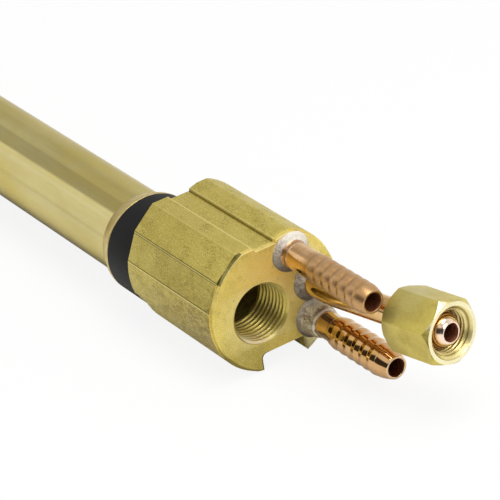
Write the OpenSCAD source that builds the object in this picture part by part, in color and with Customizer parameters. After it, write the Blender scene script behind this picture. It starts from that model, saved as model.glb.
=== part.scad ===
// Gooseneck of a water-cooled gas-shielded welding torch.
// The origin is the centre of the wire thread's mouth on the block's rear face.
// +X points out of that mouth, +Z is up with the block standing on its two feet.
// The neck runs towards -X and bends towards -Y.

/* [Connection block] */
// Length of the block along the wire path
block_l = 33; // [31:0.5:45]
// Diameter of the round bar that the block is cut from
bar_d = 32; // [31.5:0.1:36]
// Sideways distance of the bar's centre from the wire path
bar_y = 3.9; // [3.6:0.1:4.4]
// Height of the bar's centre above the wire path
bar_z = 1.1; // [0.8:0.1:1.4]
// How much the turned rim of the rear face is smaller in diameter than the bar
rim_step = 0.8; // [0.4:0.1:1.4]
// Depth of the turned rim
rim_l = 1.1; // [0.5:0.1:3]
// Height of the top flat above the wire path
top_flat_z = 15.25; // [14.9:0.05:16]
// Depth of the recess in the top flat
recess_depth = 0.75; // [0.3:0.05:1.2]
// Distance from the wire path to the recess's left edge
recess_y = 0.5; // [0:0.1:1.2]
// Width of the recess
recess_w = 5.1; // [3.5:0.1:5.6]
// How far the lobe over the gas tail stands above the top flat
lobe_step = 0.45; // [0.1:0.05:0.8]
// Depth of the shallow side flat below the bar's surface
side_flat_depth = 0.35; // [0.15:0.05:0.8]
// Direction of the side flat round the bar's centre
side_flat_angle = 155.5; // [150:0.5:160]
// Width and depth of the scored lines along the block
score_w = 0.3; // [0.2:0.05:0.6]
// Distance of the feet's flats below the wire path
foot_h = 13.35; // [12.6:0.05:13.6]
// Width of the open channel underneath
channel_w = 11.25; // [8:0.25:11.5]
// Distance from the wire path to the channel's left wall
channel_y = -1.2; // [-2.5:0.1:0]
// Distance of the channel's roof below the wire path
channel_z = 9.6; // [9.2:0.1:11]
// Radius of the channel's inner corners
channel_fillet = 1.2; // [0.5:0.1:2]
// Length of the seat turned on the block's front end
seat_l = 4; // [1:0.5:5]

/* [Wire thread] */
// Outer diameter of the wire thread
thread_d = 14; // [12:0.5:14]
// Pitch of the wire thread
thread_pitch = 1.25; // [1:0.05:1.3]
// Number of thread turns
thread_turns = 8; // [5:1:8]
// Length of the smooth space behind the thread
relief_l = 6; // [4:0.1:6.2]

/* [Neck] */
// Outer diameter of the jacket tube
jacket_d = 20; // [19.6:0.1:22]
// Wall of the jacket tube
jacket_wall = 1; // [0.5:0.1:1.1]
// Straight run of the neck between the insulating ring and the bend
straight_l = 83; // [60:1:120]
// Radius of the bend on the neck's centre line
bend_r = 60; // [40:1:100]
// Angle of the bend
bend_a = 45; // [20:1:60]
// Straight run of the neck after the bend
front_l = 30; // [20:1:60]
// Outer diameter of the conductor tube
conductor_d = 15; // [14.6:0.1:15.6]
// Wall of the conductor tube
conductor_wall = 1; // [0.6:0.1:1.1]
// Outer diameter of the gas tube
gas_d = 6.6; // [6:0.1:6.7]
// Wall of the gas tube
gas_wall = 0.6; // [0.4:0.1:0.8]
// Outer diameter of the water feed pipe
feed_d = 2.6; // [2:0.1:2.7]
// Wall of the water feed pipe
feed_wall = 0.4; // [0.3:0.05:0.5]

/* [Insulating ring and collars] */
// Outer diameter of the insulating rings
ring_d = 23.2; // [22.8:0.1:24]
// Visible width of the insulating ring at the block
ring_w = 9.8; // [6:0.1:14]
// Length of the spigot that the rings have inside the jacket
spigot_l = 4; // [2:0.5:8]
// Length of the tapered collars
collar_l = 4.3; // [2:0.1:8]
// Visible width of the insulating ring at the front
front_ring_w = 6; // [4:0.5:10]

/* [Hose tails] */
// Outer diameter of the three copper tubes
tail_d = 6; // [5.6:0.1:6.2]
// Bore of the three copper tubes
tail_bore = 4; // [3:0.1:4.4]
// How far the hose tails stand out of the rear face
tail_l = 29; // [27:0.5:29]
// Depth of the sockets that the tubes are brazed into
socket_l = 8; // [5:0.5:9]
// Sideways place of the gas tail
gas_tail_y = 9; // [8.7:0.1:9.2]
// Height of the gas tail
gas_tail_z = 11; // [10.7:0.1:11.2]
// Sideways place of the water tail
water_tail_y = 12.7; // [12.5:0.1:12.9]
// Height of the water tail, below the wire path
water_tail_z = -6.2; // [-6.3:0.1:-5.8]
// Diameter over the gas tail's barbs
gas_barb_d = 6.4; // [6.3:0.1:7.4]
// Diameter of the swelling under the water tail's barbs
water_swell_d = 6.9; // [6.3:0.1:7.1]
// Diameter over the water tail's barbs
water_barb_d = 7.3; // [7.1:0.1:8]
// Distance between two barbs
barb_pitch = 2.7; // [1.8:0.1:2.7]
// Number of barbs on a tail
barb_count = 6; // [3:1:6]
// Plain length between the rear face and the first barb
barb_start = 9.5; // [8.5:0.1:9.5]
// Outer diameter of a tail's end
nose_d = 5.1; // [4.6:0.1:5.6]
// Width of a braze fillet on the rear face
braze_w = 1.4; // [0.6:0.1:1.6]
// Height of a braze fillet along its tube
braze_h = 1.7; // [0.8:0.1:3]
// Length of the solder sleeve that goes on from the water tail's fillet
solder_sleeve_l = 2.7; // [1:0.1:3.5]

/* [Union] */
// Sideways place of the return tube
return_y = 13.2; // [12.9:0.1:13.4]
// Height of the return tube
return_z = 2.45; // [2.2:0.05:2.7]
// Straight run of the return tube before its bend
return_start = 3; // [2:0.5:6]
// Bend radius of the return tube
return_r = 40; // [20:1:60]
// Bend angle of the return tube
return_a = 8.66; // [6:0.1:10]
// Direction that the return tube bends to, round X from +Y
return_turn = 39.2; // [30:1:50]
// Straight run of the return tube from its bend to the nut's mouth
return_l = 34.4; // [33:0.1:45]
// Width across flats of the union nut
nut_af = 13; // [12.5:0.1:14]
// Length of the union nut
nut_l = 13.8; // [12.5:0.1:15]
// Roll of the union nut on its tube at rest
nut_roll = 0.4; // [0:0.1:60]
// Outer diameter of the union nut's thread
nut_thread_d = 10; // [9.8:0.1:10.6]
// Pitch of the union nut's thread
nut_pitch = 1; // [0.75:0.25:1]
// Number of thread turns in the union nut
nut_turns = 6; // [4:1:6]
// Diameter of the countersink at the union nut's mouth
nut_mouth_d = 11.3; // [10.9:0.1:11.8]
// Diameter of the nipple's shoulder
nipple_d = 8.2; // [7.6:0.1:8.2]
// Diameter of the lip at the end of the nipple's rounded nose
nipple_lip_d = 4.6; // [4.5:0.1:5]
// Slope of the nipple's nose at its lip
nose_slope = 50; // [42:1:60]
// Depth of the nipple's end inside the nut's mouth
nipple_inset = 0.35; // [0.1:0.05:1]

/* [Front end] */
// Length of the nozzle seat on the front head
nozzle_seat_l = 12; // [9:0.5:20]
// Outer diameter of the nozzle seat
nozzle_seat_d = 18.8; // [18:0.1:19.4]
// Outer diameter of the nozzle sleeve
sleeve_d = 22; // [21.6:0.1:22.6]
// Wire diameter of the retaining ring
retainer_wire = 1.2; // [0.8:0.1:1.4]
// Outer diameter of the tip holder's thread
holder_thread_d = 10; // [9.6:0.1:10.6]
// Length of the tip holder's thread
holder_thread_l = 7; // [5:0.5:10]
// Diameter of the tip holder's body
holder_d = 10; // [9.6:0.1:10.6]
// Length of the tip holder's body
holder_l = 10; // [9:0.5:15]
// Core diameter of the contact tip's thread
tip_thread_d = 6.7; // [6:0.1:7]
// Depth of the contact tip's thread
tip_thread_l = 9; // [6:0.5:9]
// Outer diameter of the gas diffuser
diffuser_d = 16.4; // [15.6:0.1:17]
// Length of the gas diffuser
diffuser_l = 8; // [5:0.5:8.5]
// Number of holes in the gas diffuser
diffuser_holes = 8; // [4:1:10]

/* [Fits] */
// Radial gap of a brazed or pressed fit
fit_gap = 0.05; // [0.03:0.01:0.08]
// Radial running clearance of the union nut on its tube
run_gap = 0.06; // [0.03:0.01:0.1]
// Gap between the union nut's shoulder and the nipple
nut_gap = 0.3; // [0.3:0.05:0.5]

/* [Hidden] */
$fn = 96;

brass = [0.72, 0.66, 0.36];
old_brass = [0.62, 0.52, 0.32];
copper = [0.80, 0.52, 0.36];
black = [0.13, 0.12, 0.12];
solder = [0.72, 0.70, 0.66];
plastic = [0.86, 0.84, 0.78];
steel = [0.75, 0.75, 0.76];
ceramic = [0.83, 0.78, 0.70];

// A cut that passes a face goes this far beyond it
over = 1;
// Half of a cut that takes in the whole block from the side
wide = bar_d;
// A bent tube is this much larger in radius round its bend, where its straight runs lap in by bend_lap
bend_swell = 0.05;
bend_lap = 0.5;

rim_r = (bar_d - rim_step) / 2;
ring_r = ring_d / 2;
jacket_r = jacket_d / 2;
jacket_inner_r = jacket_r - jacket_wall;
conductor_r = conductor_d / 2;
conductor_inner_r = conductor_r - conductor_wall;
gas_r = gas_d / 2;
gas_inner_r = gas_r - gas_wall;
tail_r = tail_d / 2;

// The jacket's ends, and the bend
jacket_x = -block_l - ring_w;
collar_end_wall = 0.2;
bend_x = jacket_x - straight_l;

// Chambers inside the block, one behind the other along the wire path
// The core of a metric thread is smaller than the thread by 1.0825 of its pitch
thread_core = 1.0825;
thread_r = thread_d / 2;
thread_core_r = thread_r - thread_core * thread_pitch / 2;
mouth_chamfer = thread_core * thread_pitch / 2;
thread_l = mouth_chamfer + thread_turns * thread_pitch;
relief_x = -thread_l - relief_l;
passage_l = 2;
gas_socket_l = 4;
gas_socket_x = relief_x - passage_l;
chamber_x = gas_socket_x - gas_socket_l;
conductor_socket_l = 5;
conductor_socket_x = -block_l + conductor_socket_l;
// The water chambers are a little wider than the conductor's bore
chamber_r = conductor_inner_r + 0.2;
gallery_r = 1.4;
// A drilling breaks this far into the space that it meets
drill_in = 0.5;
// The relief behind the thread is this much deeper than its core
relief_depth = 0.4;
relief_r = thread_core_r + relief_depth;
relief_edge = 0.2;
relief_cone_l = 0.8;
// Broken edges of the turned and moulded pieces
small_edge = 0.1;
edge = 0.15;
wide_edge = 0.5;
// Crest, falling flank, root and rising flank of a thread, as shares of its pitch
THREAD_FORM = [0, 0.25, 0.56, 0.69];
// Foot, crest start, crest end and foot of a barb, as shares of its pitch
BARB_FORM = [0.05, 0.35, 0.6, 1];
barb_run_out = 0.4;
swell_l = 1.2;
// Share of the braze's width that the solder sleeve keeps where it starts, and where it ends
sleeve_start = 0.55;
sleeve_end = 0.25;
nose_edge_l = 0.3;
nose_edge = 0.25;
// A cut's profile stays this far clear of a solid's own corner
clear = 0.01;
// The outline of the block's top steps down and up over these widths
recess_ramp = 0.5;
lobe_ramp = 0.4;
lobe_shoulder_w = 2.4;
lobe_shoulder_h = 0.6;
// The front seat is turned only below this distance under the wire path
front_cut_z = 3.8;
// The drillings go this far past the tubes' sockets
gas_drill = 0.5;
return_drill = 1;
feed_drill = 5;
// How far inside a tail's axis each slanted drilling starts
gas_gallery_in = 2;
return_gallery_in = 1.4;
feed_gallery_in = 0.6;

// The feed pipe lies in the middle of the space between the gas tube and the conductor
feed_at = (gas_r + conductor_inner_r) / 2;
feed_angle = atan2(water_tail_z, water_tail_y);
feed_y = feed_at * cos(feed_angle);
feed_z = feed_at * sin(feed_angle);
feed_socket_l = 3;

// The front end, measured forward from the jacket's front end
head_f = front_ring_w;
head_flange_l = 4;
flange_step = 0.6;
seat_f = head_f + head_flange_l;
head_socket_l = 4;
chamber_f = head_f + head_socket_l;
head_chamber_l = 4;
head_gas_f = chamber_f + head_chamber_l;
gas_stop_l = 1;
holder_thread_f = head_gas_f + gas_socket_l + gas_stop_l;
groove_f = seat_f + nozzle_seat_l * 0.6;
groove_depth = retainer_wire * 0.6;
sleeve_lead = 0.8;
head_lead = 1;
head_front_f = max(seat_f + nozzle_seat_l, holder_thread_f + holder_thread_l);
holder_collar_l = 3;
holder_f = head_front_f + holder_collar_l;
holder_thread_r = holder_thread_d / 2;
holder_r = holder_d / 2;
holder_end_f = holder_f + holder_l;
// The holder's gas bore steps down from the gas tube by this much
holder_bore_step = 0.6;
holder_bore_r = gas_inner_r - holder_bore_step;
tip_drill_point = 1;
collar_step = 1.2;
gas_port_r = 0.7;
gas_port_step = 60;
spanner_flat = 0.7;
diffuser_gap = 0.3;
diffuser_hole_r = 0.6;

// The nipple and the nut, measured forward from the return tube's bend
nipple_f = return_l - nipple_inset;
nipple_l = 8.5;
nipple_socket_in = 1;
// The nipple's nose is an arc that starts at this slope
shoulder_slope = 15;
nose_steps = 6;
nose_arc_r = (nipple_d - nipple_lip_d) / 2 / (cos(shoulder_slope) - cos(nose_slope));
cone_l = nose_arc_r * (sin(nose_slope) - sin(shoulder_slope));
shoulder_f = nipple_f - nipple_l - nut_gap;
nut_f = return_l - nut_l;
nut_core_r = (nut_thread_d - thread_core * nut_pitch) / 2;
corner_r = nut_af / sqrt(3);

module turned(points) {
    // Points are [place along X, radius]
    rotate([0, 90, 0]) rotate_extrude() polygon([for (p = points) [p[1], p[0]]]);
}

module rod(x0, x1, r) {
    translate([x0, 0, 0]) rotate([0, 90, 0]) cylinder(h = x1 - x0, r = r);
}

module pipe(x0, x1, r_out, r_in) {
    difference() {
        rod(x0, x1, r_out);
        rod(x0 - over, x1 + over, r_in);
    }
}

module along_block(x0, x1) {
    // An outline drawn in the sideways and upward directions, run along X
    translate([x0, 0, 0]) rotate([90, 0, 90]) linear_extrude(x1 - x0) children();
}

module at_bend() {
    translate([bend_x, -bend_r, 0]) children();
}

module at_front() {
    // Local -X runs forward out of the jacket's front end
    at_bend() rotate([0, 0, bend_a]) translate([-front_l, bend_r, 0]) children();
}

module front_turned(points) {
    // Points are [radius, place forward of the jacket's front end]
    at_front() rotate([0, -90, 0]) rotate_extrude() polygon(points);
}

module neck_rod(r, x_start, f_end, y, z) {
    // A round rod that follows the neck's path, beside it by y and z
    translate([0, y, z]) rod(bend_x - bend_lap, x_start, r);
    at_bend() rotate([0, 0, 90]) rotate_extrude(angle = bend_a)
        translate([bend_r + y, z]) circle(r = r + bend_swell);
    at_front() translate([0, y, z]) rod(-f_end, front_l + bend_lap, r);
}

module neck_tube(r_out, r_in, x_start, f_end, y = 0, z = 0) {
    difference() {
        neck_rod(r_out, x_start, f_end, y, z);
        neck_rod(r_in, x_start + over, f_end + over, y, z);
    }
}

module at_union() {
    // Local +X runs out along the return tube's straight end, from its bend
    translate([0, return_y, return_z]) rotate([return_turn, 0, 0])
        translate([return_start + return_r * sin(return_a), return_r * (1 - cos(return_a)), 0])
            rotate([0, 0, return_a]) children();
}

// Outline of a thread's wall, from the first turn inwards, as [place along X, radius]
function thread_points(x, pitch, turns, core_r, root_r) = [
    for (i = [0:turns - 1], k = [0:3])
        [x - (i + THREAD_FORM[k]) * pitch, k < 2 ? core_r : root_r]
];

module bar_outline() {
    translate([bar_y, bar_z]) circle(d = bar_d);
}

module top_cut() {
    floor_z = top_flat_z - recess_depth;
    lobe_z = top_flat_z + lobe_step;
    right = recess_y + recess_w;
    polygon([
        [-wide, top_flat_z], [recess_y - recess_ramp / 2, top_flat_z], [recess_y + recess_ramp / 2, floor_z],
        [right - lobe_ramp / 2, floor_z], [right + lobe_ramp / 2, lobe_z - lobe_shoulder_h],
        [right + lobe_shoulder_w, lobe_z], [wide, lobe_z], [wide, wide], [-wide, wide]
    ]);
}

module side_flat() {
    translate([bar_y, bar_z]) rotate(side_flat_angle)
        translate([bar_d / 2 - side_flat_depth, -wide]) square([wide, 2 * wide]);
}

module channel_outline() {
    h = wide - channel_z;
    translate([channel_y, -wide]) {
        square([channel_w, h - channel_fillet]);
        translate([channel_fillet, 0]) square([channel_w - 2 * channel_fillet, h]);
        for (y = [channel_fillet, channel_w - channel_fillet])
            translate([y, h - channel_fillet]) circle(r = channel_fillet);
    }
}

module scored_lines() {
    // The side flat's two edges, and the foot of the lobe
    half = acos((bar_d / 2 - side_flat_depth) / (bar_d / 2));
    for (side = [-1, 1])
        translate([bar_y, bar_z]) rotate(side_flat_angle + side * half)
            translate([bar_d / 2, 0]) circle(d = score_w);
    translate([recess_y + recess_w, top_flat_z - recess_depth]) circle(d = score_w);
}

module block_outline() {
    difference() {
        bar_outline();
        top_cut();
        side_flat();
        channel_outline();
        translate([-wide, -wide]) square([2 * wide, wide - foot_h]);
        scored_lines();
    }
}

module front_seat_cut() {
    // The lower left of the front end is turned down to the insulating ring's size
    difference() {
        translate([-wide, -wide]) square([wide, wide - front_cut_z]);
        circle(r = ring_r);
    }
}

module wire_path_cut() {
    turned(concat(
        [[over, 0], [over, thread_r - edge], [0, thread_r - edge]],
        [[-mouth_chamfer, thread_core_r]],
        thread_points(-mouth_chamfer, thread_pitch, thread_turns, thread_core_r, thread_r),
        [[-thread_l, thread_core_r], [-thread_l - relief_edge, relief_r], [relief_x, relief_r]],
        [[relief_x - relief_cone_l, gas_inner_r], [gas_socket_x, gas_inner_r]],
        [[gas_socket_x, gas_r + fit_gap], [chamber_x, gas_r + fit_gap]],
        [[chamber_x, chamber_r], [conductor_socket_x, chamber_r]],
        [[conductor_socket_x, conductor_r + fit_gap], [-block_l - over, conductor_r + fit_gap]],
        [[-block_l - over, 0]]
    ));
}

module gallery(y, z, from_x, from_in, to_x, to_r) {
    // A slanted drilling from a tube's socket in towards the wire path
    tail_at = norm([y, z]);
    start = [from_x, tail_at - from_in];
    stop = [to_x, to_r];
    run = stop - start;
    rotate([atan2(z, y), 0, 0]) translate([start[0], start[1], 0])
        rotate([0, 0, atan2(run[1], run[0])]) rod(0, norm(run), gallery_r);
}

module socket(y, z, depth) {
    translate([0, y, z]) {
        rod(-socket_l, over, tail_r + fit_gap);
        rod(-depth, over, tail_bore / 2);
    }
}

module rear_block() {
    feed_turn_x = -socket_l - feed_drill;
    color(brass) difference() {
        union() {
            along_block(-block_l, -rim_l) block_outline();
            along_block(-rim_l - over, 0) intersection() {
                block_outline();
                translate([bar_y, bar_z]) circle(r = rim_r);
            }
        }
        along_block(-block_l - over, -block_l + seat_l) front_seat_cut();
        wire_path_cut();
        socket(gas_tail_y, gas_tail_z, socket_l + gas_drill);
        socket(return_y, return_z, socket_l + return_drill);
        socket(water_tail_y, water_tail_z, -feed_turn_x);
        gallery(gas_tail_y, gas_tail_z, -socket_l, gas_gallery_in,
                relief_x + relief_l / 2, relief_r - drill_in);
        gallery(return_y, return_z, -socket_l, return_gallery_in,
                (chamber_x + conductor_socket_x) / 2, chamber_r - drill_in);
        gallery(water_tail_y, water_tail_z, feed_turn_x, feed_gallery_in,
                chamber_x + feed_socket_l / 2, feed_at);
        translate([0, feed_y, feed_z]) rod(chamber_x - over, chamber_x + feed_socket_l, feed_d / 2 + fit_gap);
    }
}

module ring_shape(width) {
    // The visible ring from 0 to width, and its spigot on the far side
    difference() {
        turned([
            [0, 0], [0, ring_r - edge], [edge, ring_r], [width - edge, ring_r], [width, ring_r - edge],
            [width, jacket_inner_r - fit_gap], [width + spigot_l, jacket_inner_r - fit_gap],
            [width + spigot_l, 0]
        ]);
        rod(-over, width + spigot_l + over, conductor_r + fit_gap);
    }
}

module collar_shape() {
    // Flush with the jacket's end at 0, tapering down onto the jacket
    difference() {
        turned([
            [0, 0], [0, ring_r - small_edge], [small_edge, ring_r], [collar_l, jacket_r + collar_end_wall],
            [collar_l, 0]
        ]);
        rod(-over, collar_l + over, jacket_r + fit_gap);
    }
}

module insulating_ring() {
    color(black) translate([-block_l, 0, 0]) mirror([1, 0, 0]) ring_shape(ring_w);
}

module rear_collar() {
    color(old_brass) translate([jacket_x, 0, 0]) mirror([1, 0, 0]) collar_shape();
}

module jacket_tube() {
    color(brass) neck_tube(jacket_r, jacket_inner_r, jacket_x, 0);
}

module insulating_sleeve() {
    color(plastic) neck_tube(jacket_inner_r - fit_gap, conductor_r + fit_gap, jacket_x - spigot_l, -spigot_l);
}

module conductor_tube() {
    color(copper) neck_tube(conductor_r, conductor_inner_r, conductor_socket_x, chamber_f);
}

module gas_tube() {
    color(copper) neck_tube(gas_r, gas_inner_r, gas_socket_x, head_gas_f + gas_socket_l);
}

module water_feed_pipe() {
    color(copper) neck_tube(feed_d / 2, feed_d / 2 - feed_wall, chamber_x + feed_socket_l,
                            chamber_f + head_chamber_l / 2, feed_y, feed_z);
}

module tail(y, z, swell_r, barb_r) {
    barbs_end = barb_start + barb_count * barb_pitch;
    color(copper) translate([0, y, z]) difference() {
        turned(concat(
            [[-socket_l, 0], [-socket_l, tail_r], [barb_start - swell_l, tail_r], [barb_start, swell_r]],
            [for (i = [0:barb_count - 1], k = [0:3])
                [barb_start + (i + BARB_FORM[k]) * barb_pitch, [swell_r, barb_r, barb_r, swell_r][k]]],
            [[barbs_end + barb_run_out, swell_r], [tail_l - nose_edge_l, nose_d / 2]],
            [[tail_l, nose_d / 2 - nose_edge], [tail_l, 0]]
        ));
        rod(-socket_l - over, tail_l + over, tail_bore / 2);
    }
}

module gas_tail() {
    tail(gas_tail_y, gas_tail_z, tail_r, gas_barb_d / 2);
}

module water_tail() {
    tail(water_tail_y, water_tail_z, water_swell_d / 2, water_barb_d / 2);
}

module return_rod(r, start, end_f) {
    // A round rod that follows the return tube's path
    translate([0, return_y, return_z]) rod(start, return_start + bend_lap, r);
    translate([return_start, return_y, return_z]) rotate([return_turn, 0, 0])
        translate([0, return_r, 0]) rotate([0, 0, -90])
            rotate_extrude(angle = return_a) translate([return_r, 0]) circle(r = r + bend_swell);
    at_union() rod(-bend_lap, end_f, r);
}

module return_tube() {
    // Enters the nipple's socket at its far end
    end_f = nipple_f - cone_l - nipple_socket_in;
    color(copper) difference() {
        return_rod(tail_r, -socket_l, end_f);
        return_rod(tail_bore / 2, -socket_l - over, end_f + over);
    }
}

module braze(y, z, sleeve_l = 0) {
    // A hollow fillet on the rear face, which runs out on its tube or goes on as a sleeve
    in_r = tail_r + fit_gap;
    end_x = braze_h + sleeve_l;
    sleeve_w = sleeve_l > 0 ? sleeve_start * braze_w : clear;
    fillet_w = braze_w - sleeve_w;
    color(solder) translate([0, y, z]) difference() {
        turned(concat(
            [[0, 0]],
            [for (a = [0:15:90]) [braze_h * (1 - cos(a)), in_r + sleeve_w + fillet_w * (1 - sin(a))]],
            sleeve_l > 0 ? [[end_x, in_r + sleeve_end * braze_w]] : [],
            [[end_x, 0]]
        ));
        rod(-over, end_x + over, in_r);
    }
}

module gas_tail_braze() {
    braze(gas_tail_y, gas_tail_z);
}

module water_tail_braze() {
    braze(water_tail_y, water_tail_z, solder_sleeve_l);
}

module return_tube_braze() {
    braze(return_y, return_z);
}

// A point of the nipple's nose where its slope is a, as [place along X, radius]
function nose_point(x, a) = [
    x + nose_arc_r * (sin(a) - sin(shoulder_slope)),
    nipple_d / 2 - nose_arc_r * (cos(shoulder_slope) - cos(a))
];

module cone_nipple() {
    back_f = nipple_f - nipple_l;
    cone_f = nipple_f - cone_l;
    turn = nose_slope - shoulder_slope;
    color(copper) at_union() difference() {
        turned(concat(
            [[back_f, 0], [back_f, nipple_d / 2]],
            [for (i = [0:nose_steps]) nose_point(cone_f, shoulder_slope + turn * i / nose_steps)],
            [[nipple_f, 0]]
        ));
        rod(back_f - over, nipple_f + over, tail_bore / 2);
        rod(back_f - over, cone_f - nipple_socket_in, tail_r + fit_gap);
    }
}

module union_nut() {
    chamfer = corner_r - nut_af / 2;
    countersink = nut_mouth_d / 2 - nut_core_r;
    thread_end_f = return_l - countersink - nut_turns * nut_pitch;
    color(brass) at_union() difference() {
        intersection() {
            translate([nut_f, 0, 0]) rotate([nut_roll, 0, 0]) rotate([0, 90, 0]) rotate([0, 0, 90])
                cylinder(h = nut_l, r = corner_r, $fn = 6);
            turned([
                [nut_f, 0], [nut_f, nut_af / 2], [nut_f + chamfer, corner_r + clear],
                [return_l - chamfer, corner_r + clear], [return_l, nut_af / 2], [return_l, 0]
            ]);
        }
        turned(concat(
            [[return_l + over, 0], [return_l + over, nut_mouth_d / 2], [return_l, nut_mouth_d / 2]],
            [[return_l - countersink, nut_core_r]],
            thread_points(return_l - countersink, nut_pitch, nut_turns, nut_core_r, nut_thread_d / 2),
            [[thread_end_f, nut_core_r], [shoulder_f, nut_core_r], [shoulder_f, 0]]
        ));
        rod(nut_f - over, return_l, tail_r + run_gap);
    }
}

module front_collar() {
    color(old_brass) at_front() collar_shape();
}

module front_insulator() {
    color(black) at_front() translate([-front_ring_w, 0, 0]) ring_shape(front_ring_w);
}

module front_head() {
    flange_r = ring_r - flange_step;
    color(brass) front_turned([
        [conductor_r + fit_gap, head_f], [flange_r, head_f], [flange_r, seat_f], [nozzle_seat_d / 2, seat_f],
        [nozzle_seat_d / 2, head_front_f - head_lead], [nozzle_seat_d / 2 - head_lead, head_front_f],
        [holder_thread_r, head_front_f], [holder_thread_r, holder_thread_f],
        [gas_inner_r, holder_thread_f], [gas_inner_r, head_gas_f + gas_socket_l],
        [gas_r + fit_gap, head_gas_f + gas_socket_l], [gas_r + fit_gap, head_gas_f],
        [chamber_r, head_gas_f], [chamber_r, chamber_f], [conductor_r + fit_gap, chamber_f]
    ]);
}

module nozzle_sleeve() {
    groove_r = sleeve_d / 2 - groove_depth;
    half = retainer_wire / 2 + fit_gap;
    color(black) front_turned([
        [nozzle_seat_d / 2 + fit_gap, seat_f], [sleeve_d / 2, seat_f], [sleeve_d / 2, groove_f - half],
        [groove_r, groove_f - half], [groove_r, groove_f + half], [sleeve_d / 2, groove_f + half],
        [sleeve_d / 2, seat_f + nozzle_seat_l - sleeve_lead],
        [sleeve_d / 2 - sleeve_lead, seat_f + nozzle_seat_l],
        [nozzle_seat_d / 2 + fit_gap, seat_f + nozzle_seat_l]
    ]);
}

module retaining_ring() {
    centre_r = sleeve_d / 2 - groove_depth + fit_gap + retainer_wire / 2;
    color(steel) at_front() rotate([0, -90, 0]) translate([0, 0, groove_f]) rotate([0, 0, 15])
        rotate_extrude(angle = 330) translate([centre_r, 0]) circle(d = retainer_wire);
}

module tip_holder() {
    color(brass) difference() {
        front_turned([
            [holder_bore_r, holder_thread_f], [holder_thread_r - fit_gap, holder_thread_f],
            [holder_thread_r - fit_gap, head_front_f], [holder_r + collar_step, head_front_f],
            [holder_r + collar_step, holder_f],
            [holder_r, holder_f], [holder_r, holder_end_f - wide_edge], [holder_r - wide_edge, holder_end_f],
            [tip_thread_d / 2 + wide_edge, holder_end_f], [tip_thread_d / 2, holder_end_f - wide_edge],
            [tip_thread_d / 2, holder_end_f - tip_thread_l],
            [holder_bore_r, holder_end_f - tip_thread_l - tip_drill_point]
        ]);
        at_front() rotate([0, -90, 0]) for (a = [0:gas_port_step:359])
            rotate([0, 90, a]) translate([-head_front_f - holder_collar_l / 2, 0, 0])
                cylinder(h = ring_r, r = gas_port_r);
        at_front() for (side = [-1, 1])
            translate([-holder_end_f - over, -holder_r, side * (2 * holder_r - spanner_flat) - holder_r])
                cube([holder_l - diffuser_l - diffuser_gap + over, 2 * holder_r, 2 * holder_r]);
    }
}

module gas_diffuser() {
    color(ceramic) difference() {
        front_turned([
            [holder_r + fit_gap, holder_f], [diffuser_d / 2, holder_f],
            [diffuser_d / 2, holder_f + diffuser_l - wide_edge],
            [diffuser_d / 2 - wide_edge, holder_f + diffuser_l],
            [holder_r + fit_gap, holder_f + diffuser_l]
        ]);
        at_front() rotate([0, -90, 0]) for (i = [0:diffuser_holes - 1])
            rotate([0, 0, i * 360 / diffuser_holes])
                translate([(holder_r + diffuser_d / 2) / 2, 0, holder_f - over])
                    cylinder(h = diffuser_l + 2 * over, r = diffuser_hole_r);
    }
}

rear_block();
insulating_ring();
rear_collar();
jacket_tube();
insulating_sleeve();
conductor_tube();
gas_tube();
water_feed_pipe();
gas_tail();
water_tail();
return_tube();
gas_tail_braze();
water_tail_braze();
return_tube_braze();
cone_nipple();
union_nut();
front_collar();
front_insulator();
front_head();
nozzle_sleeve();
retaining_ring();
tip_holder();
gas_diffuser();
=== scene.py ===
import math

import bmesh
import bpy
import numpy as np
from mathutils import Matrix, Vector, geometry


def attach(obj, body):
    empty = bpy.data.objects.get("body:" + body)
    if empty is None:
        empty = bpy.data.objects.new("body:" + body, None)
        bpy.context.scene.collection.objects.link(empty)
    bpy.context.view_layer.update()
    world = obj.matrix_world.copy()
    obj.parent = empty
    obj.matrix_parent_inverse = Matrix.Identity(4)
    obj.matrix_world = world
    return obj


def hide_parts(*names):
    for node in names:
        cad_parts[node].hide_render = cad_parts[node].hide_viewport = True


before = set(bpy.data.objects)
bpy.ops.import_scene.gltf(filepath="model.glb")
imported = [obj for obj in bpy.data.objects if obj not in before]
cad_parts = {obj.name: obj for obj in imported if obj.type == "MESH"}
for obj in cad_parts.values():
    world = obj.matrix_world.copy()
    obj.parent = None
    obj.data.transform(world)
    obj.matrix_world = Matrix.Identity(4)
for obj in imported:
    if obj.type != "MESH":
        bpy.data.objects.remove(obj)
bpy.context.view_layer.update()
rng = np.random.default_rng(7)

# Sizes and places of the part's source, in millimetres. The rear face is at x 0 and the neck runs to -x
MM = 0.001

# The connection block, cut from a bar with its middle at BAR_Y, BAR_Z
BLOCK_L = 33.0
BAR_R = 16.0
BAR_Y = 3.9
BAR_Z = 1.1
RIM_R = 15.6
RIM_L = 1.1
TOP_Z = 15.25
RECESS_Y = 0.5
RECESS_Z = 14.5
LOBE_Y = 5.6
LOBE_Z = 15.7
FOOT_Z = -13.35
ROOF_Z = -9.6
CHANNEL_Y = -1.2
CHANNEL_W = 11.25
FILLET = 1.2
# Its front end is turned to a seat, low on the left
SEAT_L = 4.0
SEAT_R = 11.6
SEAT_Z = -3.8
# The thread for the wire conduit, the relief behind it and the passage to the neck
THREAD_CORE = 6.323
THREAD_ROOT = 7.0
PITCH = 1.25
THREAD_L = 10.677
RELIEF_R = 6.723
RELIEF_X = -16.677
PASSAGE_R = 2.7
# The black ring, collar, jacket tube and bend
RING_X = -33.0
RING_R = 11.6
SPIGOT_R = 8.95
SPIGOT_BORE = 7.56
SPIGOT_L = 4.0
COLLAR_L = 4.3
JACKET_X = -42.8
JACKET_R = 10.0
JACKET_BORE = 9.05
BEND_X = -125.8
BEND_R = 60.0
BEND_A = math.radians(45)
FRONT_L = 30.0
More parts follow.
